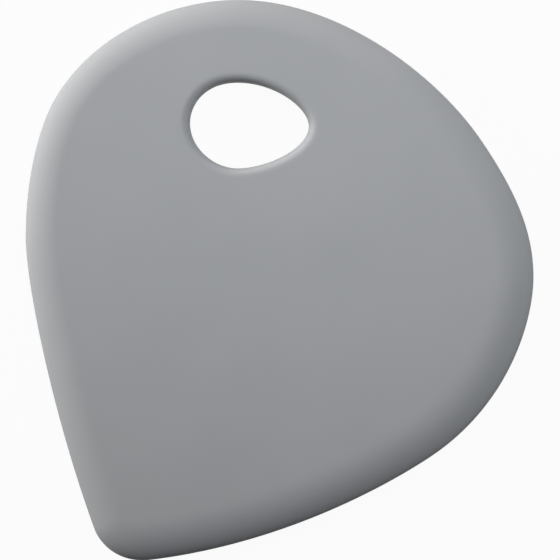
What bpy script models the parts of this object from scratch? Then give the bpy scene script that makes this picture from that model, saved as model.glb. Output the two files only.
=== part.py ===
"""Teardrop dough scraper with a finger hole.

Two silicone skins meet on the mid-plane and close round a stiff core plate. Silicone plugs run
through the core's keying holes, so the skins grip each other as well as the plate.
The scraper lies on its rear skin: +X is right, +Y is up the blade, +Z leaves the front face,
and the origin is under the middle of the blade on the surface that it lies on.
"""

import math

import bmesh
import bpy
from mathutils import Vector
from mathutils.geometry import interpolate_bezier

MM = 0.001

# Blade
BLADE_WIDTH = 117.8 * MM
BLADE_LENGTH = 130.0 * MM
BLADE_THICKNESS = 9.0 * MM

# Rim: rounded from the flat face down to a thin lip, widest on the scraping belly. A fullness
# of 2 makes its profile a quarter ellipse, a lower one makes it flatter and a higher one rounder.
LIP_THICKNESS = 1.0 * MM
BACK_TAPER = 6.5 * MM
BELLY_TAPER = 10.0 * MM
BACK_FULLNESS = 1.9
BELLY_FULLNESS = 2.2
BELLY_FACING = math.radians(-55)
BELLY_SPREAD = 1.5

# Finger hole, with an edge that is rounded from both faces down to the same thin lip
HOLE_WIDTH = 27.6 * MM
HOLE_HEIGHT = 20.0 * MM
HOLE_DROP = 29.25 * MM
HOLE_SHIFT = -7.05 * MM
HOLE_TAPER = 1.8 * MM
HOLE_FULLNESS = 1.75

# Core plate
CORE_THICKNESS = 3.0 * MM
CORE_MARGIN = 8.0 * MM
CORE_COLLAR = 4.0 * MM
CORE_CHAMFER = 0.5 * MM

# Keying holes, in rows that follow the border of the core
KEY_DIAMETER = 6.0 * MM
KEY_ROWS = 2
KEY_ROW_MARGIN = 7.0 * MM
KEY_ROW_SPACING = 15.0 * MM
KEY_PITCH = 22.0 * MM

# Gap that touching pieces keep
CLEARANCE = 0.3 * MM

# Knots of the blade's outline, counter-clockwise: across, up, heading in degrees, and the
# lengths of the handles behind and ahead. Drawn in millimetres about the blade's middle.
OUTLINE_KNOTS = {
    "right": (58.9, 0.8, 90, 9.9, 10.7),
    "right_shoulder": (47.0, 32.1, 124, 13.5, 19.5),
    "crown": (-9.6, 65.0, 180, 22.7, 15.4),
    "left_shoulder": (-51.9, 42.4, 239, 17.5, 8.4),
    "left": (-58.9, 10.1, 270, 12.4, 10.6),
    "nose_start": (-43.0, -57.6, 290, 28.4, 4.0),
    "nose_end": (-29.9, -64.9, 7, 7.3, 28.5),
    "cheek": (34.4, -41.4, 33, 15.1, 22.8),
}

# Knots of the finger hole, an egg with its point to the right, drawn about the hole's middle.
HOLE_KNOTS = {
    "right": (13.7, -0.1, 90, 5.5, 4.1),
    "top": (-2.7, 10.0, 180, 8.7, 7.9),
    "left": (-13.7, 0.6, 270, 4.0, 5.8),
    "bottom": (-2.7, -10.0, 0, 5.5, 6.4),
}

# Fineness of the curves
OUTLINE_STEPS = 14
HOLE_STEPS = 12
RIM_STEPS = 6
EDGE_STEPS = 4
KEY_SIDES = 12
SMOOTH_ANGLE = math.radians(35)

# Room for cutters past the faces that they cut
OVERSHOOT = 5.0 * MM

SILICONE = {"colour": (0.314, 0.323, 0.342, 1.0), "roughness": 0.55, "metallic": 0.0}
NYLON = {"colour": (0.62, 0.60, 0.52, 1.0), "roughness": 0.45, "metallic": 0.0}


def clear_scene():
    for thing in list(bpy.data.objects):
        bpy.data.objects.remove(thing)


def new_collection(name):
    collection = bpy.data.collections.new(name)
    bpy.context.scene.collection.children.link(collection)
    return collection


def new_material(name, finish):
    material = bpy.data.materials.new(name)
    material.use_nodes = True
    shader = material.node_tree.nodes["Principled BSDF"]
    shader.inputs["Base Color"].default_value = finish["colour"]
    shader.inputs["Roughness"].default_value = finish["roughness"]
    shader.inputs["Metallic"].default_value = finish["metallic"]
    return material


def sample_knots(knots, steps):
    """Points round the closed curve through the knots."""
    places = []
    for across, up, heading, behind, ahead in knots.values():
        middle = Vector((across, up, 0)) * MM
        forward = Vector((math.cos(math.radians(heading)), math.sin(math.radians(heading)), 0)) * MM
        places.append((middle - forward * behind, middle, middle + forward * ahead))
    points = []
    for start, end in zip(places, places[1:] + places[:1]):
        points += interpolate_bezier(start[1], start[2], end[0], end[1], steps + 1)[:-1]
    return points


def fit_to_box(points, width, height, middle):
    """The points stretched to a width and height about a new middle."""
    low = Vector((min(p.x for p in points), min(p.y for p in points), 0))
    high = Vector((max(p.x for p in points), max(p.y for p in points), 0))
    stretch_x = width / (high.x - low.x)
    stretch_y = height / (high.y - low.y)
    centre = (low + high) / 2
    return [middle + Vector(((p.x - centre.x) * stretch_x, (p.y - centre.y) * stretch_y, 0)) for p in points]


def outward_normals(points):
    """Unit normals that point out of a counter-clockwise loop."""
    normals = []
    for before, after in zip(points[-1:] + points[:-1], points[1:] + points[:1]):
        along = (after - before).normalized()
        normals.append(Vector((along.y, -along.x, 0)))
    return normals


def grown(points, distance):
    """The loop moved outwards by a distance, or inwards by a negative one.

    Where a tight bend would fold the moved loop over itself, the folded points are left out.
    """
    moved = [p + n * distance for p, n in zip(points, outward_normals(points))]
    reach = abs(distance) * 0.98
    return [m for m in moved if min((m - p).length for p in points) >= reach]


def evenly_spaced(points, pitch):
    """Places at about one pitch round a closed loop."""
    ends = points[1:] + points[:1]
    length = sum((b - a).length for a, b in zip(points, ends))
    count = max(1, round(length / pitch))
    step = length / count
    places = []
    walked = 0.0
    for a, b in zip(points, ends):
        span = (b - a).length
        while len(places) < count and len(places) * step < walked + span:
            places.append(a.lerp(b, (len(places) * step - walked) / span))
        walked += span
    return places


def circle(centre, radius):
    turns = [2 * math.pi * side / KEY_SIDES for side in range(KEY_SIDES)]
    return [centre + Vector((math.cos(turn), math.sin(turn), 0)) * radius for turn in turns]


def blade_outline():
    points = sample_knots(OUTLINE_KNOTS, OUTLINE_STEPS)
    return fit_to_box(points, BLADE_WIDTH, BLADE_LENGTH, Vector((0, 0, 0)))


def finger_hole():
    middle = Vector((HOLE_SHIFT, BLADE_LENGTH / 2 - HOLE_DROP, 0))
    return fit_to_box(sample_knots(HOLE_KNOTS, HOLE_STEPS), HOLE_WIDTH, HOLE_HEIGHT, middle)


def key_centres(outline, hole):
    """Centres of the keying holes, all round the core but clear of its finger-hole collar."""
    centres = []
    for row in range(KEY_ROWS):
        margin = CORE_MARGIN + KEY_ROW_MARGIN + row * KEY_ROW_SPACING
        for centre in evenly_spaced(grown(outline, -margin), KEY_PITCH):
            if min((centre - p).length for p in hole) > CORE_COLLAR + KEY_DIAMETER:
                centres.append(centre)
    return centres


def belly_share(normal):
    """How far the rim has its belly's shape, 0 to 1, where the outline faces along the normal."""
    towards_belly = math.cos(math.atan2(normal.y, normal.x) - BELLY_FACING)
    return ((1 + towards_belly) / 2) ** BELLY_SPREAD


def taper_step(taper, fullness, turn):
    """Inset from the edge and height over the parting plane at a turn from lip to flat face."""
    lip = LIP_THICKNESS / 2
    drop = BLADE_THICKNESS / 2 - lip
    power = 2 / fullness
    return taper * (1 - math.cos(turn) ** power), lip + drop * math.sin(turn) ** power


def rim_rings(outline):
    """Rings from the parting plane up round the lip and over the rim to the flat face."""
    normals = outward_normals(outline)
    rings = [[p + Vector((0, 0, CLEARANCE / 2)) for p in outline]]
    for step in range(RIM_STEPS + 1):
        turn = math.pi / 2 * step / RIM_STEPS
        ring = []
        for p, n in zip(outline, normals):
            share = belly_share(n)
            taper = BACK_TAPER + (BELLY_TAPER - BACK_TAPER) * share
            fullness = BACK_FULLNESS + (BELLY_FULLNESS - BACK_FULLNESS) * share
            inset, height = taper_step(taper, fullness, turn)
            ring.append(p - n * inset + Vector((0, 0, height)))
        rings.append(ring)
    return rings


def hole_rings(hole):
    """Rings of the tool that cuts the finger hole, flared towards both faces."""
    levels = [(HOLE_TAPER, BLADE_THICKNESS / 2 + OVERSHOOT)]
    for step in range(EDGE_STEPS + 1):
        levels.append(taper_step(HOLE_TAPER, HOLE_FULLNESS, math.pi / 2 * (1 - step / EDGE_STEPS)))
    levels += [(flare, -height) for flare, height in reversed(levels)]
    rings = []
    for flare, height in levels:
        shift = Vector((0, 0, height))
        rings.append([p + n * flare + shift for p, n in zip(hole, outward_normals(hole))])
    return rings


def add_object(name, mesh, collection):
    thing = bpy.data.objects.new(name, mesh)
    thing.location.z = BLADE_THICKNESS / 2
    collection.objects.link(thing)
    return thing


def finish_piece(piece, material):
    piece.data.materials.append(material)
    piece.data.shade_smooth()
    piece.data.set_sharp_from_angle(angle=SMOOTH_ANGLE)


def hide_cutter(cutter):
    cutter.hide_render = True
    cutter.display_type = 'WIRE'
    return cutter


def loft(name, rings, collection):
    """A closed body through a stack of rings with as many points each."""
    body = bmesh.new()
    loops = [[body.verts.new(p) for p in ring] for ring in rings]
    for lower, upper in zip(loops, loops[1:]):
        for a, b, c, d in zip(lower, lower[1:] + lower[:1], upper[1:] + upper[:1], upper):
            body.faces.new((a, b, c, d))
    body.faces.new(loops[0])
    body.faces.new(loops[-1])
    bmesh.ops.recalc_face_normals(body, faces=body.faces)
    mesh = bpy.data.meshes.new(name)
    body.to_mesh(mesh)
    body.free()
    return add_object(name, mesh, collection)


def flat_plate(name, loops, thickness, collection):
    """A plate centred on the mid-plane. A loop inside another is a hole in it."""
    curve = bpy.data.curves.new(name + "_outline", 'CURVE')
    curve.dimensions = '2D'
    curve.fill_mode = 'BOTH'
    curve.extrude = thickness / 2
    for loop in loops:
        spline = curve.splines.new('POLY')
        spline.points.add(len(loop) - 1)
        for knot, p in zip(spline.points, loop):
            knot.co = (p.x, p.y, 0, 1)
        spline.use_cyclic_u = True
    drawn = bpy.data.objects.new(name + "_outline", curve)
    collection.objects.link(drawn)
    evaluated = drawn.evaluated_get(bpy.context.evaluated_depsgraph_get())
    mesh = bpy.data.meshes.new_from_object(evaluated)
    bpy.data.objects.remove(drawn)
    body = bmesh.new()
    body.from_mesh(mesh)
    bmesh.ops.remove_doubles(body, verts=body.verts, dist=0.01 * MM)
    bmesh.ops.recalc_face_normals(body, faces=body.faces)
    body.to_mesh(mesh)
    body.free()
    mesh.name = name
    return add_object(name, mesh, collection)


def cut(piece, cutter):
    boolean = piece.modifiers.new(cutter.name, 'BOOLEAN')
    boolean.operation = 'DIFFERENCE'
    boolean.solver = 'EXACT'
    boolean.object = cutter


def mirrored(rings):
    """The same rings on the other side of the mid-plane."""
    return [[Vector((p.x, p.y, -p.z)) for p in ring] for ring in rings]


def make_skin(name, rings, cutters, material, collection):
    """One half of the silicone: a domed blade, cut by the finger hole and the core's pocket."""
    skin = loft(name, rings, collection)
    for cutter in cutters:
        cut(skin, cutter)
    finish_piece(skin, material)
    return skin


def make_pocket_cutter(outline, hole, centres, collection):
    """The space that the skins leave for the core. The plugs stand where it has holes."""
    loops = [grown(outline, CLEARANCE - CORE_MARGIN), grown(hole, CORE_COLLAR - CLEARANCE)]
    loops += [circle(centre, KEY_DIAMETER / 2 - CLEARANCE) for centre in centres]
    return hide_cutter(flat_plate("pocket_cutter", loops, CORE_THICKNESS + 2 * CLEARANCE, collection))


def make_core(outline, hole, centres, material, collection, cutters):
    """The stiff plate, with chamfered edges, a collar round the finger hole and its keying holes."""
    core = flat_plate("core_plate", [grown(outline, -CORE_MARGIN)], CORE_THICKNESS, collection)
    chamfer = core.modifiers.new("edge_chamfer", 'BEVEL')
    chamfer.width = CORE_CHAMFER
    chamfer.segments = 1
    chamfer.limit_method = 'ANGLE'
    chamfer.angle_limit = math.radians(60)
    loops = [grown(hole, CORE_COLLAR)] + [circle(centre, KEY_DIAMETER / 2) for centre in centres]
    cut(core, hide_cutter(flat_plate("core_hole_cutter", loops, CORE_THICKNESS + OVERSHOOT, cutters)))
    finish_piece(core, material)
    return core


def main():
    clear_scene()
    parts = new_collection("dough_scraper")
    cutters = new_collection("cutters")
    silicone = new_material("silicone", SILICONE)
    nylon = new_material("nylon", NYLON)

    outline = blade_outline()
    hole = finger_hole()
    centres = key_centres(outline, hole)
    print("keying holes:", len(centres))

    hole_cutter = hide_cutter(loft("hole_cutter", hole_rings(hole), cutters))
    pocket_cutter = make_pocket_cutter(outline, hole, centres, cutters)
    rings = rim_rings(outline)
    make_skin("front_skin", rings, (hole_cutter, pocket_cutter), silicone, parts)
    make_skin("rear_skin", mirrored(rings), (hole_cutter, pocket_cutter), silicone, parts)
    make_core(outline, hole, centres, nylon, parts, cutters)


main()
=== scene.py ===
# Teardrop dough scraper: two matte silicone skins round a hidden core plate, seen from straight above
import math

import bmesh
import bpy
from mathutils import Matrix, Vector
from mathutils.geometry import interpolate_bezier


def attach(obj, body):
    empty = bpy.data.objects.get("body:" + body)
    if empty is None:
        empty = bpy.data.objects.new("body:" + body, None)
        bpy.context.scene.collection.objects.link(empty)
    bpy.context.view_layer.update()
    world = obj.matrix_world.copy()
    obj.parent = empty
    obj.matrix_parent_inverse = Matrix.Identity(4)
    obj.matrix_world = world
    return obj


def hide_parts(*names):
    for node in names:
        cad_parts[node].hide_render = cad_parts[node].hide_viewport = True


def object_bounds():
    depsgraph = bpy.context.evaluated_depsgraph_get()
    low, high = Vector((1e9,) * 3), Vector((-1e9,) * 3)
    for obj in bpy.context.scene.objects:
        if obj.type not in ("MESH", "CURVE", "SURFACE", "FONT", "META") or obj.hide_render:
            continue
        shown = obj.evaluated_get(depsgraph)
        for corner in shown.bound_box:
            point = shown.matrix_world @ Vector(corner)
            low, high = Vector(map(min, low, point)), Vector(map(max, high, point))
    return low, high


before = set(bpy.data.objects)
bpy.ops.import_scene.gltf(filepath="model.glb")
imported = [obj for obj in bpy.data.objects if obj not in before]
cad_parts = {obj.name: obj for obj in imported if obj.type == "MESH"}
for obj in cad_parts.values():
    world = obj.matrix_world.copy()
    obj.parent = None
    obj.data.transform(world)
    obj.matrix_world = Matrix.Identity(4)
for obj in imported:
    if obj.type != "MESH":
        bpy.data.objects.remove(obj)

cadLow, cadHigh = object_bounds()
mm = 0.001
bladeWidth = cadHigh.x - cadLow.x
bladeLength = cadHigh.y - cadLow.y
bladeThickness = cadHigh.z - cadLow.z
bladeMiddle = (cadLow + cadHigh) / 2  # on the parting plane, half way up
print("frame loaded, blade", round(bladeWidth / mm, 1), "by", round(bladeLength / mm, 1), "mm")

# Knots go counter-clockwise: across, up, heading in degrees, handle behind and handle ahead, in mm
bladeShape = {
    "knots": {
        "right": (58.9, 0.8, 90, 9.9, 10.7),
        "rightShoulder": (47.0, 32.1, 124, 13.5, 19.5),
        "crown": (-9.6, 65.0, 180, 22.7, 15.4),
        "leftShoulder": (-51.9, 42.4, 239, 17.5, 8.4),
        "left": (-58.9, 10.1, 270, 12.4, 10.6),
        "noseStart": (-43.0, -57.6, 290, 28.4, 4.0),
        "noseEnd": (-29.9, -64.9, 7, 7.3, 28.5),
        "cheek": (34.4, -41.4, 33, 15.1, 22.8),
    },
    "stepsPerSpan": 45,
}

fingerHoleShape = {
    "knots": {
        "right": (13.7, -0.1, 90, 5.5, 4.1),
        "top": (-2.7, 10.0, 180, 8.7, 7.9),
        "left": (-13.7, 0.6, 270, 4.0, 5.8),
        "bottom": (-2.7, -10.0, 0, 5.5, 6.4),
    },
    "stepsPerSpan": 40,
    "width": 27.6 * mm,
    "height": 20.0 * mm,
    "shift": -7.01 * mm,  # across, from the middle of the blade
    "drop": 29.10 * mm,  # down from the crown
}


def closedCurve(shape):
    places = []
    for across, up, heading, behind, ahead in shape["knots"].values():
        turn = math.radians(heading)
        forward = Vector((math.cos(turn), math.sin(turn), 0)) * mm
        knot = Vector((across, up, 0)) * mm
        places.append((knot - forward * behind, knot, knot + forward * ahead))
    points = []
    for start, end in zip(places, places[1:] + places[:1]):
        span = interpolate_bezier(start[1], start[2], end[0], end[1], shape["stepsPerSpan"] + 1)
        points += span[:-1]
    return points


def stretched(points, width, height, middle):
    lowX, highX = min(p.x for p in points), max(p.x for p in points)
    lowY, highY = min(p.y for p in points), max(p.y for p in points)
    fitted = []
    for p in points:
        across = (p.x - (lowX + highX) / 2) * width / (highX - lowX)
        up = (p.y - (lowY + highY) / 2) * height / (highY - lowY)
        fitted.append(middle + Vector((across, up, 0)))
    return fitted


def outwardNormals(points):
    normals = []
    for before, after in zip(points[-1:] + points[:-1], points[1:] + points[:1]):
        along = (after - before).normalized()
        normals.append(Vector((along.y, -along.x, 0)))
    return normals


holeOffset = Vector((fingerHoleShape["shift"], bladeLength / 2 - fingerHoleShape["drop"], 0))
holeSize = fingerHoleShape["width"], fingerHoleShape["height"]
outline = stretched(closedCurve(bladeShape), bladeWidth, bladeLength, bladeMiddle)
fingerHole = stretched(closedCurve(fingerHoleShape), *holeSize, bladeMiddle + holeOffset)
outOfBlade = outwardNormals(outline)
intoHole = [-normal for normal in outwardNormals(fingerHole)]  # both point out of the silicone
print("outline drawn with", len(outline), "points, finger hole with", len(fingerHole))

rim = {
    "lip": 1.0 * mm,  # full thickness at the very edge
    "backTaper": 6.8 * mm,
    "bellyTaper": 10.0 * mm,
    "backFullness": 1.85,  # 2 is a quarter ellipse, and less is flatter
    "bellyFullness": 2.2,
    "bellyFacing": math.radians(-55),
    "bellySpread": 1.5,
    "steps": 20,
}

holeEdge = {
    "taper": 2.3 * mm,
    "fullness": 2.9,
    "steps": 16,
}

seam = {
    "gap": 0.04 * mm,  # hairline where the two halves of the mould met
    "radius": 0.12 * mm,
    "steps": 3,
}

pocket = {
    "margin": 7.7 * mm,  # room for the core, inside the outline
    "collar": 3.7 * mm,  # silicone left round the finger hole
    "depth": 1.8 * mm,
}

flatStrip = 0.6 * mm  # beside each curve, so that the face shades flat
creaseAngle = math.radians(40)  # edges that turn more than this stay sharp


def moved(points, normals, inset, height):
    lift = Vector((0, 0, height))
    return [p - n * inset + lift for p, n in zip(points, normals)]


def quarterTurns(steps):
    return [math.pi / 2 * step / steps for step in range(steps + 1)]


def seamRings(points, normals):
    rings = []
    for turn in quarterTurns(seam["steps"]):
        inset = seam["radius"] * (1 - math.sin(turn))
        height = seam["gap"] / 2 + seam["radius"] * (1 - math.cos(turn))
        rings.append(moved(points, normals, inset, height))
    return rings


def bellyShare(normal):
    facing = math.atan2(normal.y, normal.x) - rim["bellyFacing"]
    return ((1 + math.cos(facing)) / 2) ** rim["bellySpread"]


def taperStep(taper, fullness, turn):
    drop = (bladeThickness - rim["lip"]) / 2
    power = 2 / fullness
    return taper * (1 - math.cos(turn) ** power), rim["lip"] / 2 + drop * math.sin(turn) ** power


def rimRings():
    rings = seamRings(outline, outOfBlade)
    for turn in quarterTurns(rim["steps"]):
        ring = []
        for point, normal in zip(outline, outOfBlade):
            share = bellyShare(normal)
            taper = rim["backTaper"] + (rim["bellyTaper"] - rim["backTaper"]) * share
            fullness = rim["backFullness"] + (rim["bellyFullness"] - rim["backFullness"]) * share
            inset, height = taperStep(taper, fullness, turn)
            ring.append(point - normal * inset + Vector((0, 0, height)))
        rings.append(ring)
    rings.append(moved(rings[-1], outOfBlade, flatStrip, 0))
    return rings


def holeRings():
    rings = seamRings(fingerHole, intoHole)
    for turn in quarterTurns(holeEdge["steps"]):
        inset, height = taperStep(holeEdge["taper"], holeEdge["fullness"], turn)
        rings.append(moved(fingerHole, intoHole, inset, height))
    rings.append(moved(rings[-1], intoHole, flatStrip, 0))
    return rings


def loopEdges(shape, loop):
    return [shape.edges.get(pair) for pair in zip(loop, loop[1:] + loop[:1])]


def drawnLoop(shape, places):
    loop = [shape.verts.new(place) for place in places]
    for pair in zip(loop, loop[1:] + loop[:1]):
        shape.edges.new(pair)
    return loop


def pulledLoop(shape, loop, places):
    made = bmesh.ops.extrude_edge_only(shape, edges=loopEdges(shape, loop))
    fresh = {item for item in made["geom"] if isinstance(item, bmesh.types.BMVert)}
    pulled = []
    for vert, place in zip(loop, places):
        follower = next(edge.other_vert(vert) for edge in vert.link_edges if edge.other_vert(vert) in fresh)
        follower.co = place
        pulled.append(follower)
    return pulled


def fillBetween(shape, outer, inner):
    edges = loopEdges(shape, outer) + loopEdges(shape, inner)
    bmesh.ops.triangle_fill(shape, use_beauty=True, edges=edges)


def newPiece(name, shape, material):
    mesh = bpy.data.meshes.new(name)
    shape.to_mesh(mesh)
    mesh.shade_smooth()
    mesh.set_sharp_from_angle(angle=creaseAngle)
    mesh.materials.append(material)
    piece = bpy.data.objects.new(name, mesh)
    bpy.context.scene.collection.objects.link(piece)
    print("made", name, "with", len(mesh.polygons), "faces")
    return piece


def putInOrder(shape):
    # Extruding leaves the edges and faces in another order each run
    shape.verts.index_update()
    pointCount = len(shape.verts)

    def rank(item):
        place = 0
        for index in sorted(vert.index for vert in item.verts)[:3]:
            place = place * pointCount + index
        return place

    shape.edges.sort(key=rank)
    shape.faces.sort(key=rank)


def makeSkins(material):
    shape = bmesh.new()
    tops, seams = [], []
    for rings in (rimRings(), holeRings()):
        loop = drawnLoop(shape, rings[0])
        seams.append(loop)
        for places in rings[1:]:
            loop = pulledLoop(shape, loop, places)
        tops.append(loop)
    fillBetween(shape, *tops)

    # Mating face on the parting plane, then the pocket that the core lies in
    rimLoop, holeLoop = seams
    for height in (seam["gap"] / 2, pocket["depth"]):
        rimLoop = pulledLoop(shape, rimLoop, moved(outline, outOfBlade, pocket["margin"], height))
        holeLoop = pulledLoop(shape, holeLoop, moved(fingerHole, intoHole, pocket["collar"], height))
    fillBetween(shape, rimLoop, holeLoop)
    bmesh.ops.recalc_face_normals(shape, faces=shape.faces)
    putInOrder(shape)
    front = newPiece("frontSkin", shape, material)

    bmesh.ops.scale(shape, vec=(1, 1, -1), space=Matrix.Translation(-bladeMiddle), verts=shape.verts)
    bmesh.ops.reverse_faces(shape, faces=shape.faces)
    rear = newPiece("rearSkin", shape, material)
    shape.free()
    return front, rear


def addNode(tree, kind, **values):
    node = tree.nodes.new(kind)
    for key, value in values.items():
        node.inputs[key].default_value = value
    return node


def twoTone(tree, pattern, finish):
    tones = tree.nodes.new("ShaderNodeValToRGB")
    first, last = tones.color_ramp.elements
    first.position, last.position = finish["toneSpan"]
    first.color, last.color = finish["dark"], finish["light"]
    tree.links.new(pattern, tones.inputs["Fac"])
    return tones.outputs["Color"]


silicone = {
    "light": (0.318, 0.327, 0.346, 1.0),
    "dark": (0.309, 0.319, 0.336, 1.0),
    "toneSpan": (0.35, 0.65),  # where the mottle passes from dark to light
    "mottleScale": 45.0,  # patches about 2 cm across
    "mottleDetail": 3.0,
    "roughness": (0.50, 0.60),
    "grainScale": 9000.0,  # the mould's blasted texture, about 0.1 mm
    "grainDetail": 2.0,
    "grainDepth": 0.004 * mm,
    "grainStrength": 0.6,
    "refraction": 1.41,
    "specular": 0.1,  # the blasted surface hardly shines
}


def makeSilicone():
    material = bpy.data.materials.new("matteSilicone")
    material.use_nodes = True
    tree = material.node_tree
    shader = tree.nodes["Principled BSDF"]
    shader.inputs["IOR"].default_value = silicone["refraction"]
    shader.inputs["Specular IOR Level"].default_value = silicone["specular"]
    place = tree.nodes.new("ShaderNodeTexCoord").outputs["Object"]

    mottleLook = {"Scale": silicone["mottleScale"], "Detail": silicone["mottleDetail"]}
    mottle = addNode(tree, "ShaderNodeTexNoise", **mottleLook)
    tree.links.new(place, mottle.inputs["Vector"])
    tree.links.new(twoTone(tree, mottle.outputs["Fac"], silicone), shader.inputs["Base Color"])

    polish = tree.nodes.new("ShaderNodeMapRange")
    polish.inputs["To Min"].default_value, polish.inputs["To Max"].default_value = silicone["roughness"]
    tree.links.new(mottle.outputs["Fac"], polish.inputs["Value"])
    tree.links.new(polish.outputs["Result"], shader.inputs["Roughness"])

    grainLook = {"Scale": silicone["grainScale"], "Detail": silicone["grainDetail"]}
    grain = addNode(tree, "ShaderNodeTexNoise", **grainLook)
    tree.links.new(place, grain.inputs["Vector"])
    bumpLook = {"Strength": silicone["grainStrength"], "Distance": silicone["grainDepth"]}
    bump = addNode(tree, "ShaderNodeBump", **bumpLook)
    tree.links.new(grain.outputs["Fac"], bump.inputs["Height"])
    tree.links.new(bump.outputs["Normal"], shader.inputs["Normal"])
    return material


coreNylon = {
    "light": (0.62, 0.60, 0.52, 1.0),
    "dark": (0.54, 0.52, 0.45, 1.0),
    "toneSpan": (0.4, 0.6),
    "fleckScale": 900.0,  # glass fibres, about 1 mm
    "fleckDetail": 4.0,
    "roughness": 0.45,
}


def makeNylon():
    material = bpy.data.materials.new("filledNylon")
    material.use_nodes = True
    tree = material.node_tree
    shader = tree.nodes["Principled BSDF"]
    shader.inputs["Roughness"].default_value = coreNylon["roughness"]
    place = tree.nodes.new("ShaderNodeTexCoord").outputs["Object"]
    fleckLook = {"Scale": coreNylon["fleckScale"], "Detail": coreNylon["fleckDetail"]}
    flecks = addNode(tree, "ShaderNodeTexNoise", **fleckLook)
    tree.links.new(place, flecks.inputs["Vector"])
    tree.links.new(twoTone(tree, flecks.outputs["Fac"], coreNylon), shader.inputs["Base Color"])
    return material


frontSkin, rearSkin = makeSkins(makeSilicone())
for piece, node in ((frontSkin, "front_skin"), (rearSkin, "rear_skin")):
    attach(piece, "root")
    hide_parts(node)

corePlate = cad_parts["core_plate"]
corePlate.data.materials.clear()
corePlate.data.materials.append(makeNylon())
print("skins and core finished")

studioFloor = {
    "size": 6.0,  # metres
    "colour": (0.50, 0.50, 0.50, 1.0),
    "whiteness": 0.95,  # share of plain white, and the rest shows the shadow
    "gap": 0.02 * mm,
}


def whiteShare(tree, share):
    # Camera, glossy and transmission rays see plain white, and diffuse light is left alone
    rays = tree.nodes.new("ShaderNodeLightPath").outputs
    seen = rays["Is Camera Ray"]
    for kind in ("Is Glossy Ray", "Is Transmission Ray"):
        either = tree.nodes.new("ShaderNodeMath")
        either.operation = 'MAXIMUM'
        tree.links.new(seen, either.inputs[0])
        tree.links.new(rays[kind], either.inputs[1])
        seen = either.outputs[0]
    scaled = tree.nodes.new("ShaderNodeMath")
    scaled.operation = 'MULTIPLY'
    scaled.inputs[1].default_value = share
    tree.links.new(seen, scaled.inputs[0])
    return scaled.outputs[0]


def makeFloor():
    shape = bmesh.new()
    bmesh.ops.create_grid(shape, x_segments=1, y_segments=1, size=studioFloor["size"] / 2)
    bmesh.ops.translate(shape, vec=(0, 0, cadLow.z - studioFloor["gap"]), verts=shape.verts)
    material = bpy.data.materials.new("paleFloor")
    material.use_nodes = True
    tree = material.node_tree
    tree.nodes.clear()
    pale = addNode(tree, "ShaderNodeBsdfDiffuse", Color=studioFloor["colour"])
    white = addNode(tree, "ShaderNodeEmission", Strength=1.0)
    blend = tree.nodes.new("ShaderNodeMixShader")
    tree.links.new(whiteShare(tree, studioFloor["whiteness"]), blend.inputs["Fac"])
    tree.links.new(pale.outputs[0], blend.inputs[1])
    tree.links.new(white.outputs[0], blend.inputs[2])
    result = tree.nodes.new("ShaderNodeOutputMaterial")
    tree.links.new(blend.outputs[0], result.inputs["Surface"])
    newPiece("floor", shape, material)
    shape.free()


def makeWorld():
    world = bpy.data.worlds.new("studioWorld")
    bpy.context.scene.world = world
    world.use_nodes = True
    tree = world.node_tree
    white = tree.nodes["Background"]
    white.inputs["Color"].default_value = (1.0, 1.0, 1.0, 1.0)
    tree.links.new(whiteShare(tree, 1.0), white.inputs["Strength"])


# Azimuth and elevation in degrees about the middle of the blade, distance and size in metres
studioLamps = {
    "leftSoftbox": {"place": (165, 13, 0.8), "size": 0.35, "watts": 5.06, "colour": (1.0, 0.99, 0.95)},
    "upperSoftbox": {"place": (120, 10, 0.8), "size": 0.35, "watts": 4.83, "colour": (1.0, 0.95, 0.88)},
    "rightFill": {"place": (0, 5, 0.8), "size": 0.35, "watts": 1.57, "colour": (0.97, 1.0, 0.99)},
    "rightTopLamp": {"place": (30, 45, 0.25), "size": 0.12, "watts": 0.139, "colour": (1.0, 1.0, 1.0)},
    "crownLamp": {"place": (90, 70, 0.25), "size": 0.12, "watts": 0.328, "colour": (0.97, 0.99, 1.0)},
    "leftRimLamp": {"place": (160, 15, 0.25), "size": 0.06, "watts": 0.097, "colour": (1.0, 0.99, 0.97)},
}


def makeLamp(name, setting):
    azimuth, elevation, distance = setting["place"]
    turn, climb = math.radians(azimuth), math.radians(elevation)
    away = Vector((math.cos(turn), math.sin(turn), math.tan(climb))).normalized()
    light = bpy.data.lights.new(name, 'AREA')
    light.size = setting["size"]
    light.energy = setting["watts"]
    light.color = setting["colour"]
    lamp = bpy.data.objects.new(name, light)
    lamp.location = bladeMiddle + away * distance
    lamp.rotation_euler = away.to_track_quat('Z', 'Y').to_euler()
    lamp.visible_camera = False
    bpy.context.scene.collection.objects.link(lamp)


camera = {
    "lens": 180.0,  # mm
    "sensor": 36.0,  # mm
    "clipSpan": 100,  # it clips this many times nearer and further than the blade
    "pictureLength": 130.0 * mm,  # what the picture spans on the parting plane
    "aimRight": 0.10 * mm,
    "aimUp": 0.03 * mm,
}


def makeCamera():
    lens = bpy.data.cameras.new("camera")
    lens.lens = camera["lens"]
    lens.sensor_width = camera["sensor"]
    distance = camera["pictureLength"] * camera["lens"] / camera["sensor"]
    lens.clip_start = distance / camera["clipSpan"]
    lens.clip_end = distance * camera["clipSpan"]
    eye = bpy.data.objects.new("camera", lens)
    # Left unturned, so that it looks straight down
    eye.location = bladeMiddle + Vector((camera["aimRight"], camera["aimUp"], distance))
    bpy.context.scene.collection.objects.link(eye)
    bpy.context.scene.camera = eye


makeFloor()
makeWorld()
for lampName, setting in studioLamps.items():
    makeLamp(lampName, setting)
makeCamera()
bpy.context.scene.view_settings.view_transform = 'Standard'
print("studio ready")
